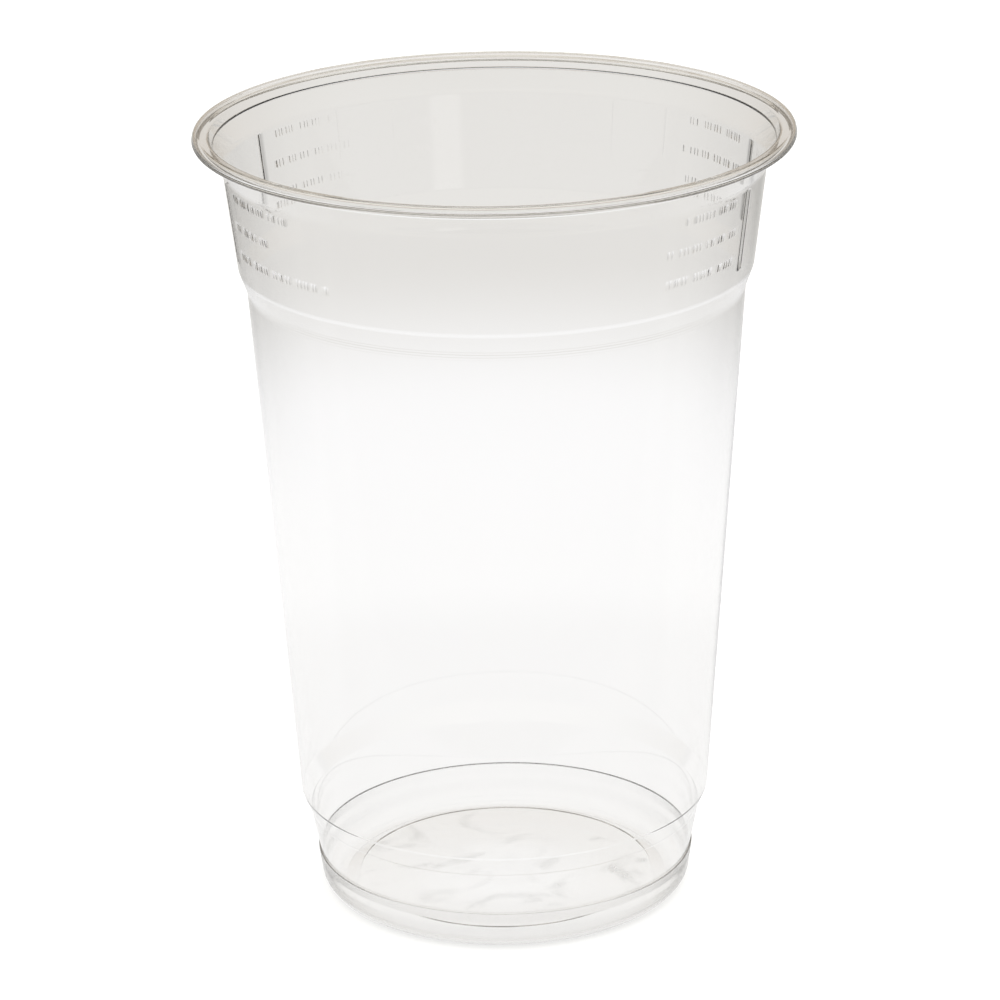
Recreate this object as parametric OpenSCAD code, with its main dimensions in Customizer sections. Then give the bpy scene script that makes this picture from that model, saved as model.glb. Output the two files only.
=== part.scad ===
// Clear plastic disposable cup, formed from one sheet: a rolled rim over a short lead-in, a tapered
// upper band, a stacking shoulder, a long straight wall, a ledge near the bottom and a foot ring
// round a pushed-up floor.
// The cup stands on its foot ring at z = 0, and the axis of the cup is the Z axis.
// The section is drawn as the middle line of the sheet, from the centre of the floor to the free
// edge of the roll, and the sheet's thickness is then laid to both sides of that line.

/* [Cup] */
// Overall height
cup_h = 128.6; // [105:0.1:175]
// Outside diameter of the rolled rim, which a lid clips over
rim_d = 95; // [86:0.5:120]
// Outside diameter of the straight wall at its lower end, where the ledge starts
base_d = 66.9; // [52:0.1:74]

/* [Sheet] */
// Thickness of the wall
wall_t = 0.3; // [0.2:0.01:0.6]
// Thickness of the rolled rim
rim_t = 0.4; // [0.25:0.01:0.55]
// Thickness of the floor, where the sheet is drawn least
floor_t = 0.45; // [0.3:0.01:0.7]

/* [Rolled rim] */
// Width of the roll, from its inner corner to its outer edge
roll_w = 2.65; // [2.3:0.05:4]
// Height of the roll at its outer edge
roll_h = 1.65; // [1.5:0.05:2.5]
// Slope of the top of the roll, down towards the inside, in degrees
roll_slope = 12; // [0:1:16]
// How far the free edge of the roll turns back towards the wall
roll_return = 0.7; // [0.6:0.05:1.2]
// Radius of the roll's upper turns
roll_r = 0.6; // [0.4:0.05:0.7]
// Thickness of the sheet at the roll's lower turn, where it is gathered
edge_t = 0.6; // [0.4:0.05:0.7]
// Inner radius of the roll's lower turn
edge_inner_r = 0.05; // [0.05:0.05:0.2]
// Height of the steep inner face between the roll's inner corner and the crease below it
neck_h = 1.75; // [1:0.05:3]
// How far that face leans in over its height
neck_in = 0.55; // [0:0.05:1]

/* [Upper band] */
// Height of the lead-in cone under the crease
lead_h = 3.5; // [2:0.1:6]
// How far the lead-in cone narrows the radius
lead_in = 1.75; // [0.5:0.05:2.5]
// Height of the upper band
band_h = 16.1; // [8:0.1:24]
// Draft of the upper band from vertical, in degrees
band_draft = 7; // [2:0.1:9]
// Radius of the bend between lead-in and band
band_r = 2.5; // [1:0.1:5]

/* [Stacking shoulder] */
// Height of the shoulder
shoulder_h = 3.6; // [2:0.1:7]
// How far the shoulder steps the radius in
shoulder_step = 1.3; // [0.6:0.05:2.2]
// Radius of the shoulder's upper bend
shoulder_top_r = 1.2; // [0.5:0.1:4]
// Radius of the shoulder's lower bend
shoulder_foot_r = 3; // [0.5:0.1:6]

/* [Ledge] */
// Height above the table at which the ledge starts
ledge_z = 17.4; // [15:0.1:26]
// Height of the ledge
ledge_h = 3.3; // [2.5:0.1:7]
// How far the ledge steps the radius in
ledge_step = 1.35; // [0.6:0.05:2.5]
// Radius of the ledge's upper bend
ledge_top_r = 0.5; // [0.3:0.1:5]
// Radius of the ledge's lower bend
ledge_foot_r = 0.5; // [0.3:0.1:4]

/* [Base] */
// Height above the table of the fold between the lower wall and the heel
heel_z = 6.7; // [5.2:0.1:9]
// How far the lower wall narrows the radius down to that fold
heel_in = 1.3; // [0.5:0.05:2.5]
// Further narrowing of the radius from the fold down to the corner that the heel rounds off
foot_in = 0.9; // [0:0.05:1.5]
// Radius of the rounded heel
heel_r = 3; // [2:0.1:4]
// Distance from the heel's corner in to where the foot ring turns up to the floor
foot_w = 3.2; // [3:0.1:6]
// Width of the slope from the foot ring up to the floor
rise_w = 2.55; // [1:0.05:5]
// Height of the floor's edge above the table
push_up = 0.9; // [0.5:0.1:3]
// Further rise of the floor to its flat centre
dome_h = 0.7; // [0:0.05:2]
// Diameter of the flat centre of the floor
centre_d = 18; // [8:1:30]
// Radius of the folds between foot ring, rise and floor
floor_r = 0.6; // [0.4:0.05:0.8]

/* [Hidden] */
clear_plastic = [0.9, 0.89, 0.87, 0.45];
floor_bend_r = 60;
arc_step = 9;
around = 180;

// The small undercuts at crease and fold, in shares of the sheet's thickness, as a sheet can't be
// bent any tighter than its thickness allows
undercut_out = 0.9;
undercut_drop = 0.36;

// Radii of the middle line and of the outside, from the rim down
roll_edge = rim_d / 2 - edge_t / 2;
roll_out = rim_d / 2 - rim_t / 2;
roll_in = rim_d / 2 - roll_w + rim_t / 2;
crease_r = roll_in - neck_in;
band_top_r = crease_r - lead_in;
band_foot_r = band_top_r - band_h * tan(band_draft);
body_top_r = band_foot_r - shoulder_step;
ledge_r = base_d / 2 - wall_t / 2;
lower_r = ledge_r - ledge_step;
fold_r = lower_r - heel_in;
foot_r = fold_r - foot_in;
ring_in = foot_r - foot_w;
floor_edge = ring_in - rise_w;

// Heights of the middle line, where roll_peak is the corner that the outer turn rounds off
roll_top = cup_h - rim_t / 2;
roll_peak = roll_top + roll_r * (tan(roll_slope) + 1 / cos(roll_slope) - 1);
edge_z = cup_h - roll_h + edge_t / 2;
free_z = cup_h - roll_h + rim_t / 2;
corner_z = roll_peak - (roll_out - roll_in) * tan(roll_slope);
crease_z = corner_z - neck_h;
band_top_z = crease_z - lead_h;
band_foot_z = band_top_z - band_h;
body_top_z = band_foot_z - shoulder_h;
lower_z = ledge_z - ledge_h;
ring_z = floor_t / 2;
floor_z = push_up + floor_t / 2;
centre_z = floor_z + dome_h;

// The two corners of a fine step, below which the wall stands out a little
function undercut(r, z, t) = [
    [r + undercut_out * t / 2, z - undercut_drop * t / 2, t, t],
    [r - undercut_out * t / 2, z + undercut_drop * t / 2, t, t]
];

// Corners of the middle line: radius, height, bend radius and thickness of the sheet
SHEET_LINE = [
    [0, centre_z, 0, floor_t],
    [centre_d / 2, centre_z, floor_bend_r, floor_t],
    [floor_edge, floor_z, floor_r, floor_t],
    [ring_in, ring_z, floor_r, floor_t],
    [foot_r, ring_z, heel_r, floor_t],
    each undercut(fold_r, heel_z, wall_t),
    [lower_r, lower_z, ledge_foot_r, wall_t],
    [ledge_r, ledge_z, ledge_top_r, wall_t],
    [body_top_r, body_top_z, shoulder_foot_r, wall_t],
    [band_foot_r, band_foot_z, shoulder_top_r, wall_t],
    [band_top_r, band_top_z, band_r, wall_t],
    each undercut(crease_r, crease_z, rim_t),
    [roll_in, corner_z, roll_r, rim_t],
    [roll_out, roll_peak, roll_r, rim_t],
    [roll_edge, edge_z, edge_inner_r + edge_t / 2, edge_t],
    [roll_edge - roll_return, free_z, 0, rim_t]
];

function place(corner) = [corner[0], corner[1]];
function unit(v) = v / norm(v);
function outward(v) = [v[1], -v[0]];
function turned(v, a) = [v[0] * cos(a) - v[1] * sin(a), v[0] * sin(a) + v[1] * cos(a)];
function turn_between(v, w) = atan2(v[0] * w[1] - v[1] * w[0], v * w);

// One station of the sheet: a point of the middle line, the direction out of the cup, the thickness
function end_station(from, to, at) =
    [place(at), outward(unit(place(to) - place(from))), at[3]];

function turn_at(line, i) =
    turn_between(place(line[i]) - place(line[i - 1]), place(line[i + 1]) - place(line[i]));

// How much of the straights beside it a bend takes up, if they are long enough
function wanted_reach(line, i) =
    i <= 0 || i >= len(line) - 1 ? 0 : line[i][2] * tan(abs(turn_at(line, i)) / 2);

// How much of one of them it gets, where two bends share a short straight
function shared_reach(line, i, next) =
    let(own = wanted_reach(line, i))
    own * min(1, 0.96 * norm(place(line[next]) - place(line[i])) / (own + wanted_reach(line, next)));

// Stations round one bend
function bend(line, i) =
    let(
        turn = turn_at(line, i),
        way_in = unit(place(line[i]) - place(line[i - 1])),
        reach = min(shared_reach(line, i, i - 1), shared_reach(line, i, i + 1)),
        radius = reach / tan(abs(turn) / 2),
        centre = place(line[i]) - way_in * reach - outward(way_in) * sign(turn) * radius,
        steps = max(2, ceil(abs(turn) / arc_step))
    )
    [
        for (k = [0:steps])
            let(side = outward(turned(way_in, turn * k / steps)))
            [centre + side * sign(turn) * radius, side, line[i][3]]
    ];

function stations(line) =
    let(last = len(line) - 1)
    [
        end_station(line[0], line[1], line[0]),
        for (i = [1:last - 1])
            if (abs(turn_at(line, i)) > 0.01) each bend(line, i),
        end_station(line[last - 1], line[last], line[last])
    ];

// Rounded free edge of the sheet, from its outer to its inner face
function free_edge(station, steps = 8) = [
    for (i = [1:steps - 1])
        station[0] + turned(station[1], 180 * i / steps) * station[2] / 2
];

function sheet_outline(line) =
    let(all = stations(line), last = len(all) - 1)
    [
        for (s = all) s[0] + s[1] * s[2] / 2,
        each free_edge(all[last]),
        for (i = [last:-1:0]) all[i][0] - all[i][1] * all[i][2] / 2
    ];

// The whole cup is one turned section
module cup() {
    color(clear_plastic)
        rotate_extrude($fn = around)
            polygon(sheet_outline(SHEET_LINE));
}

cup();
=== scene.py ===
import math

import bpy
import numpy as np
from mathutils import Matrix, Vector


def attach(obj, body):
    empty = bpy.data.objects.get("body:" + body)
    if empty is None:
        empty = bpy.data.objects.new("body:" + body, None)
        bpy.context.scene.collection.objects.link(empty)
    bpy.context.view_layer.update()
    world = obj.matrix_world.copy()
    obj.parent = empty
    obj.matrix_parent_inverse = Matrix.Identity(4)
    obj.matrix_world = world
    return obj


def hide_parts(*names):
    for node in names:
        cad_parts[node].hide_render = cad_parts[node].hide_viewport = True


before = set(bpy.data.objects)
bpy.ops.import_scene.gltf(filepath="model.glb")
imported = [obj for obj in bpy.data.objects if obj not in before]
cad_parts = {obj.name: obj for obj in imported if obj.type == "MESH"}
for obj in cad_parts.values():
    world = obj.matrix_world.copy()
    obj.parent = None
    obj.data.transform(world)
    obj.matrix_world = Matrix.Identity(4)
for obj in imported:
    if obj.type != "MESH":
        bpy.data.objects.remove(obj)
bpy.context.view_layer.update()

MM = 0.001

# The cup's sizes in millimetres. They are the part's own, but for a softer shoulder, a finer crease
# and 0.01 to 0.04 mm less in height and rim, which keep this finer mesh inside the CAD part's box
CUP_H = 128.59
RIM_D = 94.96
BASE_D = 66.9
WALL_T = 0.3
RIM_T = 0.4
FLOOR_T = 0.45
ROLL_W = 2.65
ROLL_H = 1.65
ROLL_SLOPE = 12.0
ROLL_RETURN = 0.7
ROLL_R = 0.6
EDGE_T = 0.6
EDGE_INNER_R = 0.05
NECK_H = 1.75
NECK_IN = 0.55
LEAD_H = 3.5
LEAD_IN = 1.75
BAND_H = 16.1
BAND_DRAFT = 7.0
BAND_R = 2.5
SHOULDER_H = 3.6
SHOULDER_STEP = 1.3
SHOULDER_TOP_R = 2.5
SHOULDER_FOOT_R = 5.0
LEDGE_Z = 17.4
LEDGE_H = 3.3
LEDGE_STEP = 1.35
LEDGE_TOP_R = 0.5
LEDGE_FOOT_R = 0.5
HEEL_Z = 6.7
HEEL_IN = 1.3
FOOT_IN = 0.9
HEEL_R = 3.0
FOOT_W = 3.2
RISE_W = 2.55
PUSH_UP = 0.9
DOME_H = 0.7
CENTRE_D = 18.0
FLOOR_R = 0.6
FLOOR_BEND_R = 60.0
# The small undercuts at fold and crease, in shares of the sheet's thickness
FOLD_OUT = 0.9
CREASE_OUT = 0.75
UNDERCUT_DROP = 0.36

# How fine the mesh is: steps round the cup, in its bends and round the free edge of the sheet, and
# how close to each bend its straights have one more ring of points, to keep them flat
ROUND_STEPS = 208
ARC_STEP = math.radians(7.5)
FREE_EDGE_STEPS = 6
SUPPORT = 0.08
# A point of the section that is closer to the axis than this lies on it
ON_AXIS = 1e-6

# The raised marks on the upper band: two plain fields, each between two upright bars, with three
# rows of short ticks on either side. What runs round the cup is in degrees, counted from the side
# that faces the camera towards its right. Heights and how far a mark stands out are in millimetres.
# ROW_SPANS has the lengths of the rows to the left (-1) and right (1) of each field, from outside.
FIELD_CENTRES = (-97.5, 86.0)
FIELD_HALF = 19.5
BAR_WIDE = 0.6
BAR_LOW, BAR_HIGH = 109.3, 122.4
BAR_OUT = 0.13
ROW_HEIGHTS = (121.2, 116.4, 111.6)
ROW_SPANS = {
    (0, 1): (27.0, 17.0, 35.5),
    (0, -1): (20.0, 24.0, 21.0),
    (1, -1): (19.5, 24.0, 23.5),
    (1, 1): (22.0, 23.0, 22.0),
}
ROW_START = FIELD_HALF + BAR_WIDE + 5.0
TICK_TALL = 1.3
TICK_STEPS = (0.95, 1.3, 0.85, 1.55, 1.0, 0.9, 1.8)
TICK_WIDTHS = (0.5, 0.65, 0.42, 0.55, 0.7, 0.45)
TICK_OUT = 0.06
# The marks rise to their full height over this many degrees and this many millimetres
RAMP = 0.12
RISE = 0.2
# How far above and below the bars the mesh still has the marks' columns of points
COLUMNS_PAST = 0.3


def unit(v):
    return v / np.linalg.norm(v)


def outward(v):
    """The direction out of the cup, square to a direction along the middle line of its sheet."""
    return np.array([v[1], -v[0]])


def turned(v, angle):
    c, s = math.cos(angle), math.sin(angle)
    return np.array([v[0] * c - v[1] * s, v[0] * s + v[1] * c])


def undercut(radius, height, thickness, share):
    """Two corners of the middle line: a fine step, where the wall below stands out a little."""
    out, drop = share * thickness / 2, UNDERCUT_DROP * thickness / 2
    return [
        (radius + out, height - drop, thickness, thickness),
        (radius - out, height + drop, thickness, thickness),
    ]


def sheet_line():
    """Corners of the sheet's middle line: radius, height, bend radius, thickness."""
    roll_out = RIM_D / 2 - RIM_T / 2
    roll_in = RIM_D / 2 - ROLL_W + RIM_T / 2
    crease_r = roll_in - NECK_IN
    band_top_r = crease_r - LEAD_IN
    band_foot_r = band_top_r - BAND_H * math.tan(math.radians(BAND_DRAFT))
    body_top_r = band_foot_r - SHOULDER_STEP
    ledge_r = BASE_D / 2 - WALL_T / 2
    lower_r = ledge_r - LEDGE_STEP
    fold_r = lower_r - HEEL_IN
    foot_r = fold_r - FOOT_IN
    ring_in = foot_r - FOOT_W
    slope = math.radians(ROLL_SLOPE)
    roll_peak = CUP_H - RIM_T / 2 + ROLL_R * (math.tan(slope) + 1 / math.cos(slope) - 1)
    edge_r = RIM_D / 2 - EDGE_T / 2
    corner_z = roll_peak - (roll_out - roll_in) * math.tan(slope)
    crease_z = corner_z - NECK_H
    band_top_z = crease_z - LEAD_H
    band_foot_z = band_top_z - BAND_H
    floor_z = PUSH_UP + FLOOR_T / 2
    return [
        (0.0, floor_z + DOME_H, 0.0, FLOOR_T),
        (CENTRE_D / 2, floor_z + DOME_H, FLOOR_BEND_R, FLOOR_T),
        (ring_in - RISE_W, floor_z, FLOOR_R, FLOOR_T),
        (ring_in, FLOOR_T / 2, FLOOR_R, FLOOR_T),
        (foot_r, FLOOR_T / 2, HEEL_R, FLOOR_T),
        *undercut(fold_r, HEEL_Z, WALL_T, FOLD_OUT),
        (lower_r, LEDGE_Z - LEDGE_H, LEDGE_FOOT_R, WALL_T),
        (ledge_r, LEDGE_Z, LEDGE_TOP_R, WALL_T),
        (body_top_r, band_foot_z - SHOULDER_H, SHOULDER_FOOT_R, WALL_T),
        (band_foot_r, band_foot_z, SHOULDER_TOP_R, WALL_T),
        (band_top_r, band_top_z, BAND_R, WALL_T),
        *undercut(crease_r, crease_z, RIM_T, CREASE_OUT),
        (roll_in, corner_z, ROLL_R, RIM_T),
        (roll_out, roll_peak, ROLL_R, RIM_T),
        (edge_r, CUP_H - ROLL_H + EDGE_T / 2, EDGE_INNER_R + EDGE_T / 2, EDGE_T),
        (edge_r - ROLL_RETURN, CUP_H - ROLL_H + RIM_T / 2, 0.0, RIM_T),
    ]


def turn_at(line, i):
    before, at, after = (np.array(line[k][:2]) for k in (i - 1, i, i + 1))
    way_in, way_out = unit(at - before), unit(after - at)
    return math.atan2(way_in[0] * way_out[1] - way_in[1] * way_out[0], way_in @ way_out)


def wanted_reach(line, i):
    """How much of the straights beside it a bend takes up, if they are long enough."""
    if i <= 0 or i >= len(line) - 1:
        return 0.0
    return line[i][2] * math.tan(abs(turn_at(line, i)) / 2)


def reach(line, i):
    """How much of them it gets, where two bends share a short straight."""
    own = wanted_reach(line, i)
    shares = [1.0]
    for k in (i - 1, i + 1):
        length = math.dist(line[i][:2], line[k][:2])
        shares.append(0.96 * length / (own + wanted_reach(line, k)))
    return own * min(shares)


def bend(line, i):
    """Stations round one bend of the middle line: point, direction out of the cup, thickness."""
    corner, thickness = np.array(line[i][:2]), line[i][3]
    way_in = unit(corner - np.array(line[i - 1][:2]))
    turn = turn_at(line, i)
    sign = math.copysign(1, turn)
    radius = reach(line, i) / math.tan(abs(turn) / 2)
    centre = corner - way_in * reach(line, i) - outward(way_in) * sign * radius
    steps = max(3, math.ceil(abs(turn) / ARC_STEP))
    sides = [outward(turned(way_in, turn * k / steps)) for k in range(steps + 1)]
    return [(centre + side * sign * radius, side, thickness) for side in sides]


def sheet_stations(line):
    """Stations all along the middle line, from the centre of the floor to the free edge."""
    stations = [(np.array(line[0][:2]), np.array([0.0, -1.0]), line[0][3])]
    for i in range(1, len(line) - 1):
        stations += bend(line, i)
    way_out = unit(np.array(line[-1][:2]) - np.array(line[-2][:2]))
    return stations + [(np.array(line[-1][:2]), outward(way_out), line[-1][3])]


def with_heights(points, heights):
    """The outline's points, with one more at each of these heights on its straight stretches."""
    refined = [points[0]]
    for low, high in zip(points, points[1:]):
        span = high[1] - low[1]
        for z in sorted(heights):
            if low[1] + 1e-4 < z < high[1] - 1e-4:
                refined.append(low + (high - low) * (z - low[1]) / span)
        refined.append(high)
    return refined


def with_supports(points):
    """The outline's points, with one more close to each end of its straights, to keep them flat."""
    refined = [points[0]]
    for low, high in zip(points, points[1:]):
        length = np.linalg.norm(high - low)
        if length > 4 * SUPPORT:
            along = (high - low) / length * SUPPORT
            refined += [low + along, high - along]
        refined.append(high)
    return refined


def tick_columns(spans):
    """Start and width of each column of ticks, in degrees from the inner end of its rows."""
    columns, start = [], 0.0
    while start < max(spans):
        i = len(columns)
        columns.append((start, TICK_WIDTHS[i % len(TICK_WIDTHS)]))
        start += TICK_STEPS[i % len(TICK_STEPS)]
    return columns


def relief_angles():
    """Angles of the columns of points that carry the ticks and bars."""
    angles = []
    for field, centre in enumerate(FIELD_CENTRES):
        for side in (-1, 1):
            bar = centre + side * (FIELD_HALF + BAR_WIDE / 2)
            half = BAR_WIDE / 2
            angles += [bar - half, bar - half + RAMP, bar + half - RAMP, bar + half]
            for start, wide in tick_columns(ROW_SPANS[field, side]):
                ends = (start, start + RAMP, start + wide - RAMP, start + wide)
                angles += [centre + side * (ROW_START + at) for at in ends]
    return sorted(a % 360 for a in angles)


def in_tick_row(i, along, z, spans):
    """Whether a row has this column's tick at this height. Some are left out, as they are worn."""
    for row, (row_z, row_span) in enumerate(zip(ROW_HEIGHTS, spans)):
        if abs(z - row_z) < TICK_TALL / 2 - RISE / 2:
            return along < row_span - 1 and (3 * i + 5 * row) % 7 != 0
    return False


def relief(angle, z):
    """How far the band stands out at this angle and height."""
    for field, centre in enumerate(FIELD_CENTRES):
        for side in (-1, 1):
            away = (side * (angle - centre) + 180) % 360 - 180
            from_bar = abs(away - FIELD_HALF - BAR_WIDE / 2)
            in_height = BAR_LOW + RISE / 2 < z < BAR_HIGH - RISE / 2
            if from_bar < BAR_WIDE / 2 - RAMP / 2 and in_height:
                return BAR_OUT
            along = away - ROW_START
            spans = ROW_SPANS[field, side]
            for i, (start, wide) in enumerate(tick_columns(spans)):
                if start + RAMP / 2 < along < start + wide - RAMP / 2:
                    return TICK_OUT if in_tick_row(i, along, z, spans) else 0.0
    return 0.0


def relief_heights():
    """Heights of the rings of points at the ends of ticks and bars, with one to either side."""
    spans = [(BAR_LOW, BAR_HIGH)]
    spans += [(row_z - TICK_TALL / 2, row_z + TICK_TALL / 2) for row_z in ROW_HEIGHTS]
    return [end + step for span in spans for end in span for step in (-RISE, 0.0, RISE)]


def even_angles():
    return [360 * i / ROUND_STEPS for i in range(ROUND_STEPS)]


def mixed_angles():
    """The relief's angles, with even steps where none of them is near."""
    fine = relief_angles()
    near = np.array(fine)
    half_step = 180 / ROUND_STEPS
    spare = [a for a in even_angles() if np.min(np.abs((near - a + 180) % 360 - 180)) > half_step]
    return sorted(fine + spare)


def zipper(ring_a, angles_a, ring_b, angles_b):
    """Triangles between two rings of points that have different angles."""
    faces = []
    i = j = 0
    count_a, count_b = len(ring_a), len(ring_b)
    next_a = list(angles_a[1:]) + [angles_a[0] + 360]
    next_b = list(angles_b[1:]) + [angles_b[0] + 360]
    while i < count_a or j < count_b:
        take_a = j == count_b or (i < count_a and next_a[i] <= next_b[j])
        at_a, at_b = ring_a[i % count_a], ring_b[j % count_b]
        if take_a:
            faces.append((at_a, ring_a[(i + 1) % count_a], at_b))
            i += 1
        else:
            faces.append((at_a, ring_b[(j + 1) % count_b], at_b))
            j += 1
    return faces


def place(radius, angle, z):
    """A point in metres, at an angle counted from the side that faces the camera."""
    a = math.radians(angle)
    return (radius * math.sin(a) * MM, -radius * math.cos(a) * MM, z * MM)


def section_sides():
    """The section's outer face, from the centre of the floor up, and then its way back inside."""
    stations = sheet_stations(sheet_line())
    outside = with_supports([point + side * t / 2 for point, side, t in stations])
    inside = with_supports([point - side * t / 2 for point, side, t in stations])
    edge, side, t = stations[-1]
    half_turns = [math.pi * i / FREE_EDGE_STEPS for i in range(1, FREE_EDGE_STEPS)]
    free_edge = [edge + turned(side, angle) * t / 2 for angle in half_turns]
    return with_heights(outside, relief_heights()), free_edge + inside[::-1]


def band_between(ring_a, angles_a, ring_b, angles_b):
    """Faces between two neighbouring rings. A ring of one point, on the axis, has no angles."""
    after_a, after_b = (ring[1:] + ring[:1] for ring in (ring_a, ring_b))
    if not angles_a:
        return [(ring_a[0], after, at) for at, after in zip(ring_b, after_b)]
    if not angles_b:
        return [(ring_b[0], at, after) for at, after in zip(ring_a, after_a)]
    if len(ring_a) == len(ring_b):
        return list(zip(ring_a, after_a, after_b, ring_b))
    return zipper(ring_a, angles_a, ring_b, angles_b)


def cup_mesh():
    outer, back = section_sides()
    even, mixed = even_angles(), mixed_angles()
    low, high = BAR_LOW - COLUMNS_PAST, BAR_HIGH + COLUMNS_PAST
    points, faces, rings = [], [], []
    for k, (radius, z) in enumerate(outer + back):
        start = len(points)
        if radius < ON_AXIS:
            points.append((0, 0, z * MM))
            rings.append(([start], []))
            continue
        on_band = k < len(outer) and low < z < high and radius < RIM_D / 2 - ROLL_W
        angles = mixed if on_band else even
        for angle in angles:
            out = relief(angle, z) if on_band else 0.0
            points.append(place(radius + out, angle, z))
        rings.append((list(range(start, len(points))), angles))
    for ring_a, ring_b in zip(rings, rings[1:]):
        faces += band_between(*ring_a, *ring_b)
    mesh = bpy.data.meshes.new("clear_cup")
    mesh.from_pydata(points, [], faces)
    mesh.validate()
    mesh.polygons.foreach_set("use_smooth", [True] * len(mesh.polygons))
    return mesh


def node_tree(owner):
    owner.use_nodes = True
    owner.node_tree.nodes.clear()
    return owner.node_tree


def colour_mix(tree, blend, factor, a, b):
    """A colour mix node. Each input is a value or another node's output."""
    mix = tree.nodes.new("ShaderNodeMix")
    mix.data_type = "RGBA"
    mix.blend_type = blend
    for name, value in (("Factor", factor), ("A", a), ("B", b)):
        if isinstance(value, bpy.types.NodeSocket):
            tree.links.new(value, mix.inputs[name])
        else:
            mix.inputs[name].default_value = value
    return mix.outputs["Result"]


def number(tree, operation, a, b=0.0):
    """A maths node. Each input is a number or another node's output."""
    node = tree.nodes.new("ShaderNodeMath")
    node.operation = operation
    for socket, value in zip(node.inputs, (a, b)):
        if isinstance(value, bpy.types.NodeSocket):
            tree.links.new(value, socket)
        else:
            socket.default_value = value
    return node.outputs[0]


def eased(tree, value, low, high, at_low=0.0, at_high=1.0):
    """Goes smoothly from one value to another as its input goes from low to high."""
    node = tree.nodes.new("ShaderNodeMapRange")
    node.interpolation_type = "SMOOTHSTEP"
    settings = {"From Min": low, "From Max": high, "To Min": at_low, "To Max": at_high}
    for name, setting in settings.items():
        node.inputs[name].default_value = setting
    tree.links.new(value, node.inputs["Value"])
    return node.outputs["Result"]


def colour_stops(ramp, stops):
    """Sets a colour ramp from pairs of position and colour."""
    points = ramp.color_ramp.elements
    while len(points) < len(stops):
        points.new(0.5)
    for point, (at, colour) in zip(points, stops):
        point.position = at
        point.color = (*colour, 1)


# Roughness by height in millimetres: glossy walls over a softer heel, where the mould has marked it
HEEL_TOP = 10.0
GLOSS = (
    (0.0, 0.05), (1.6, 0.05), (2.2, 0.2), (3.7, 0.2), (4.2, 0.05),
    (4.9, 0.05), (5.3, 0.25), (6.5, 0.25), (7.4, 0.02),
)
# The floor, inside this radius in metres, has soft patches: their noise, the part of its range that
# shows, and the roughness at both ends of it
FLOOR_EDGE = (0.0232, 0.0242)
PATCHES = {"Scale": 80.0, "Detail": 3.0, "Roughness": 0.5, "Distortion": 1.5}
PATCH_RANGE = (0.4, 0.75)
PATCH_ROUGH = (0.03, 0.3)
# What the sheet does to light that goes through it, and to the lamp's light for its shadow
PLASTIC_IOR = 1.5
ABSORBED = (0.67, 0.64, 0.58, 1)
ABSORPTION = 230
LAMP_THROUGH = (0.96, 0.96, 0.955, 1)


def sheet_roughness(tree):
    """Roughness by height, with soft patches on the floor."""
    nodes, link = tree.nodes, tree.links.new
    where = nodes.new("ShaderNodeTexCoord")
    parts = nodes.new("ShaderNodeSeparateXYZ")
    link(where.outputs["Object"], parts.inputs[0])
    height = number(tree, "DIVIDE", parts.outputs["Z"], HEEL_TOP * MM)
    gloss = nodes.new("ShaderNodeValToRGB")
    colour_stops(gloss, [(at / HEEL_TOP, (rough,) * 3) for at, rough in GLOSS])
    link(height, gloss.inputs["Fac"])
    patches = nodes.new("ShaderNodeTexNoise")
    for name, setting in PATCHES.items():
        patches.inputs[name].default_value = setting
    link(where.outputs["Object"], patches.inputs["Vector"])
    marks = eased(tree, patches.outputs["Fac"], *PATCH_RANGE, *PATCH_ROUGH)
    squares = [number(tree, "MULTIPLY", parts.outputs[axis], parts.outputs[axis]) for axis in "XY"]
    radius = number(tree, "SQRT", number(tree, "ADD", *squares))
    rough = nodes.new("ShaderNodeMix")
    link(eased(tree, radius, *FLOOR_EDGE, 1.0, 0.0), rough.inputs["Factor"])
    link(gloss.outputs["Color"], rough.inputs["A"])
    link(marks, rough.inputs["B"])
    return rough.outputs["Result"]


def clear_plastic():
    """Clear glossy sheet that bends light. Lamps shine through it, a little dimmed."""
    material = bpy.data.materials.new("clear_plastic")
    tree = node_tree(material)
    nodes, link = tree.nodes, tree.links.new
    sheet = nodes.new("ShaderNodeBsdfPrincipled")
    sheet.inputs["Base Color"].default_value = (1, 1, 1, 1)
    sheet.inputs["IOR"].default_value = PLASTIC_IOR
    sheet.inputs["Transmission Weight"].default_value = 1
    link(sheet_roughness(tree), sheet.inputs["Roughness"])
    through = nodes.new("ShaderNodeBsdfTransparent")
    through.inputs["Color"].default_value = LAMP_THROUGH
    body = nodes.new("ShaderNodeVolumeAbsorption")
    body.inputs["Color"].default_value = ABSORBED
    body.inputs["Density"].default_value = ABSORPTION
    path = nodes.new("ShaderNodeLightPath")
    mix = nodes.new("ShaderNodeMixShader")
    out = nodes.new("ShaderNodeOutputMaterial")
    link(body.outputs[0], out.inputs["Volume"])
    link(path.outputs["Is Shadow Ray"], mix.inputs[0])
    link(sheet.outputs[0], mix.inputs[1])
    link(through.outputs[0], mix.inputs[2])
    link(mix.outputs[0], out.inputs["Surface"])
    return material


def build_cup():
    cup = bpy.data.objects.new("clear_cup", cup_mesh())
    bpy.context.scene.collection.objects.link(cup)
    cup.data.materials.append(clear_plastic())
    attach(cup, "root")
    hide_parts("cup")
    return cup


# The set: a round white table, in metres. For the camera it has this grey and this much glow
TABLE_RADIUS = 1.5
TABLE_VERTICES = 96
TABLE_GAP = 0.00003
TABLE_GREY = (0.5, 0.5, 0.5, 1)
TABLE_LIFT = 0.55
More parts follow.
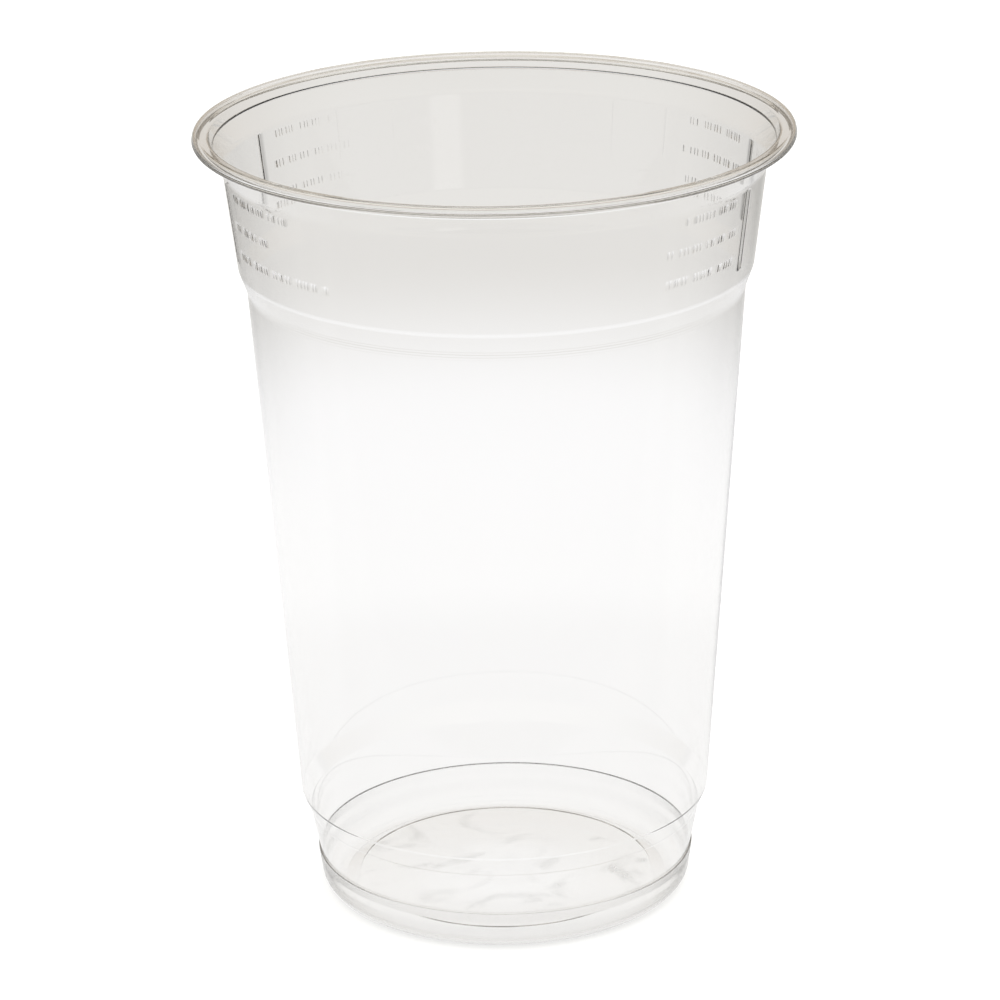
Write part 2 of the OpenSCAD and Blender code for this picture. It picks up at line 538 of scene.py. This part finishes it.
# Rays that the cup bends or mirrors see painted light and shade in its place, by distance from its
# axis:
# a painted glow, brightest under the cup, a little darker round its foot and greyer far off
TABLE_SPAN = 0.6
TABLE_PAINTED_LIGHT = (
    (0.000, (1.06, 1.07, 1.085)),
    (0.022, (1.02, 1.02, 1.02)),
    (0.032, (0.995, 0.993, 0.992)),
    (0.105, (1.00, 0.998, 1.00)),
    (0.140, (1.04, 1.04, 1.045)),
    (0.240, (1.04, 1.04, 1.05)),
    (0.360, (0.80, 0.787, 0.765)),
    (0.600, (0.79, 0.775, 0.75)),
)
# To the left and right painted shade dims them, by this share. It sets in and ends between these
# degrees, counted from straight beyond the cup, and sets in between these metres from the cup
TABLE_SIDE_PAINTED_SHADE = 0.48
TABLE_DIM_BEYOND = (11, 36)
TABLE_DIM_BEFORE = (60, 95)
TABLE_DIM_AWAY = (0.17, 0.39)
# Towards the front a painted shadow under the foot dims them too, by this share. It sets in between
# these metres in front of the axis, under the foot
FOOT_PAINTED_SHADOW = 0.1
FOOT_DIM_AT = (0.004, 0.026)


def painted_table_shade(tree, parts, distance):
    """The share of the table's painted glow that painted shade takes off at a place on it: to the
    sides, and as a painted shadow in front under the foot.
    """
    across = number(tree, "ABSOLUTE", parts.outputs["X"])
    aside = number(tree, "ARCTAN2", across, parts.outputs["Y"])
    beyond = eased(tree, aside, *map(math.radians, TABLE_DIM_BEYOND), 0.0, TABLE_SIDE_PAINTED_SHADE)
    before = eased(tree, aside, *map(math.radians, TABLE_DIM_BEFORE), 1.0, 0.0)
    away = eased(tree, distance, *TABLE_DIM_AWAY)
    sides = number(tree, "MULTIPLY", away, number(tree, "MULTIPLY", beyond, before))
    in_front = number(tree, "MULTIPLY", parts.outputs["Y"], -1.0)
    # Painted shade to the sides, plus the painted shadow in front under the foot
    return number(tree, "ADD", sides, eased(tree, in_front, *FOOT_DIM_AT, 0.0, FOOT_PAINTED_SHADOW))


def painted_table_light(tree):
    """Painted light and shade: what the table shows to rays that the cup bends or mirrors."""
    nodes, link = tree.nodes, tree.links.new
    where = nodes.new("ShaderNodeTexCoord")
    parts = nodes.new("ShaderNodeSeparateXYZ")
    link(where.outputs["Object"], parts.inputs[0])
    length = nodes.new("ShaderNodeVectorMath")
    length.operation = "LENGTH"
    link(where.outputs["Object"], length.inputs[0])
    distance = length.outputs["Value"]
    # The painted glow, by distance from the axis
    shade = nodes.new("ShaderNodeValToRGB")
    shade.color_ramp.interpolation = "EASE"
    colour_stops(shade, [(at / TABLE_SPAN, colour) for at, colour in TABLE_PAINTED_LIGHT])
    link(number(tree, "DIVIDE", distance, TABLE_SPAN), shade.inputs["Fac"])
    dim = painted_table_shade(tree, parts, distance)
    # The painted shade darkens the painted glow by that share
    return colour_mix(tree, "MIX", dim, shade.outputs["Color"], (0, 0, 0, 1))


def table_material():
    """White and lit for the camera, and a painted glow with painted shade for rays that the cup
    bends or mirrors.
    """
    material = bpy.data.materials.new("table_white")
    tree = node_tree(material)
    nodes, link = tree.nodes, tree.links.new
    glow = nodes.new("ShaderNodeEmission")
    lit = nodes.new("ShaderNodeBsdfDiffuse")
    lit.inputs["Color"].default_value = TABLE_GREY
    lift = nodes.new("ShaderNodeEmission")
    lift.inputs["Strength"].default_value = TABLE_LIFT
    white = nodes.new("ShaderNodeAddShader")
    path = nodes.new("ShaderNodeLightPath")
    seen = nodes.new("ShaderNodeMixShader")
    out = nodes.new("ShaderNodeOutputMaterial")
    link(painted_table_light(tree), glow.inputs["Color"])
    link(lit.outputs[0], white.inputs[0])
    link(lift.outputs[0], white.inputs[1])
    link(path.outputs["Is Camera Ray"], seen.inputs[0])
    link(glow.outputs[0], seen.inputs[1])
    link(white.outputs[0], seen.inputs[2])
    link(seen.outputs[0], out.inputs["Surface"])
    return material


def build_table():
    circle = {"vertices": TABLE_VERTICES, "radius": TABLE_RADIUS, "fill_type": "NGON"}
    bpy.ops.mesh.primitive_circle_add(**circle)
    table = bpy.context.object
    table.location.z = -TABLE_GAP
    table.name = "table_top"
    table.data.materials.append(table_material())


# Brightness of the surroundings by the sine of their height over the horizon, on the camera's side
# and beyond the cup
SKY_FRONT = (
    (0.00, (0.98, 0.98, 0.97)),
    (0.20, (0.86, 0.86, 0.84)),
    (0.35, (1.06, 1.05, 1.00)),
    (0.60, (1.10, 1.10, 1.07)),
    (0.85, (0.85, 0.85, 0.82)),
    (1.00, (1.00, 1.00, 0.95)),
)
SKY_BEYOND = (
    (0.00, (0.46, 0.41, 0.34)),
    (0.17, (0.62, 0.55, 0.47)),
    (0.35, (0.66, 0.61, 0.54)),
    (0.55, (0.90, 0.87, 0.81)),
    (0.80, (1.10, 1.07, 1.00)),
    (1.00, (1.00, 1.00, 0.95)),
)
# The one goes over into the other between these degrees from the camera's side
SKY_TURN = (60, 125)
# A soft strip of light low to the right of the camera: azimuth, half width and softness in degrees.
# It fades out upwards, between these sines of its height
STRIP_AT = 21.0
STRIP_HALF = 6.5
STRIP_SOFT = 2.0
STRIP_GLOW = 0.5
STRIP_TOP = (0.08, 0.2)


def build_world():
    """White for the camera. The cup mirrors a soft studio, warmer and dimmer beyond it."""
    world = bpy.data.worlds.new("studio")
    bpy.context.scene.world = world
    tree = node_tree(world)
    nodes, link = tree.nodes, tree.links.new
    where = nodes.new("ShaderNodeTexCoord")
    parts = nodes.new("ShaderNodeSeparateXYZ")
    link(where.outputs["Generated"], parts.inputs[0])
    x, y, z = parts.outputs
    azimuth = number(tree, "ARCTAN2", x, number(tree, "MULTIPLY", y, -1.0))
    skies = []
    for stops in (SKY_FRONT, SKY_BEYOND):
        ramp = nodes.new("ShaderNodeValToRGB")
        colour_stops(ramp, stops)
        link(z, ramp.inputs["Fac"])
        skies.append(ramp.outputs["Color"])
    beyond = eased(tree, number(tree, "ABSOLUTE", azimuth), *map(math.radians, SKY_TURN))
    sky = colour_mix(tree, "MIX", beyond, *skies)
    from_strip = number(tree, "ABSOLUTE", number(tree, "SUBTRACT", azimuth, math.radians(STRIP_AT)))
    strip_edge = map(math.radians, (STRIP_HALF - STRIP_SOFT, STRIP_HALF + STRIP_SOFT))
    beside = eased(tree, from_strip, *strip_edge, STRIP_GLOW, 0.0)
    strip = number(tree, "MULTIPLY", beside, eased(tree, z, *STRIP_TOP, 1.0, 0.0))
    lit = colour_mix(tree, "ADD", 1.0, sky, strip)
    path = nodes.new("ShaderNodeLightPath")
    seen = colour_mix(tree, "MIX", path.outputs["Is Camera Ray"], lit, (1, 1, 1, 1))
    background = nodes.new("ShaderNodeBackground")
    out = nodes.new("ShaderNodeOutputWorld")
    link(seen, background.inputs["Color"])
    link(background.outputs[0], out.inputs["Surface"])


# One large soft lamp over the cup, in metres and watts
LAMP_AT = (0.1, -0.15, 1.3)
LAMP_AIM = (0.0, 0.0, 0.06)
LAMP_SIDE = 1.2
LAMP_WATTS = 14


def build_lamp():
    """It lights the table and gives the shadow. The cup mirrors the studio in its place."""
    lamp = bpy.data.lights.new("top_softbox", "AREA")
    lamp.shape = "SQUARE"
    lamp.size = LAMP_SIDE
    lamp.energy = LAMP_WATTS
    ob = bpy.data.objects.new("top_softbox", lamp)
    ob.location = LAMP_AT
    towards = Vector(LAMP_AIM) - Vector(LAMP_AT)
    ob.rotation_euler = towards.to_track_quat("-Z", "Y").to_euler()
    ob.visible_glossy = False
    ob.visible_transmission = False
    bpy.context.scene.collection.objects.link(ob)


# The camera, from the ellipses of rim, ledge, floor and foot in the photo
CAMERA_AT = (0.0, -0.6851, 0.3126)
LOOKS_AT = (0.0, 0.0, 0.0659)
FOCAL_PIXELS = 4506.0
IMAGE_PIXELS = 1000.0
SENSOR_WIDTH = 36
ROLL = math.radians(-0.909)


def build_camera():
    data = bpy.data.cameras.new("photo_camera")
    data.sensor_fit = "HORIZONTAL"
    data.sensor_width = SENSOR_WIDTH
    data.lens = FOCAL_PIXELS / IMAGE_PIXELS * SENSOR_WIDTH
    camera = bpy.data.objects.new("photo_camera", data)
    ahead = (Vector(LOOKS_AT) - Vector(CAMERA_AT)).normalized()
    right = ahead.cross(Vector((0, 0, 1))).normalized()
    up = right.cross(ahead)
    across = right * math.cos(ROLL) + up * math.sin(ROLL)
    upright = up * math.cos(ROLL) - right * math.sin(ROLL)
    turn = Matrix((across, upright, -ahead)).transposed().to_4x4()
    camera.matrix_world = Matrix.Translation(CAMERA_AT) @ turn
    bpy.context.scene.collection.objects.link(camera)
    bpy.context.scene.camera = camera


# Light runs along inside the thin sheet, so it takes many bounces to come out of the rim
BOUNCES = 32
GLOSSY_BOUNCES = 12


def set_rendering():
    scene = bpy.context.scene
    scene.view_settings.view_transform = "Standard"
    scene.cycles.max_bounces = BOUNCES
    scene.cycles.transmission_bounces = BOUNCES
    scene.cycles.transparent_max_bounces = BOUNCES
    scene.cycles.glossy_bounces = GLOSSY_BOUNCES
    scene.cycles.caustics_reflective = False
    scene.cycles.caustics_refractive = False


build_camera()
build_cup()
build_table()
build_world()
build_lamp()
set_rendering()
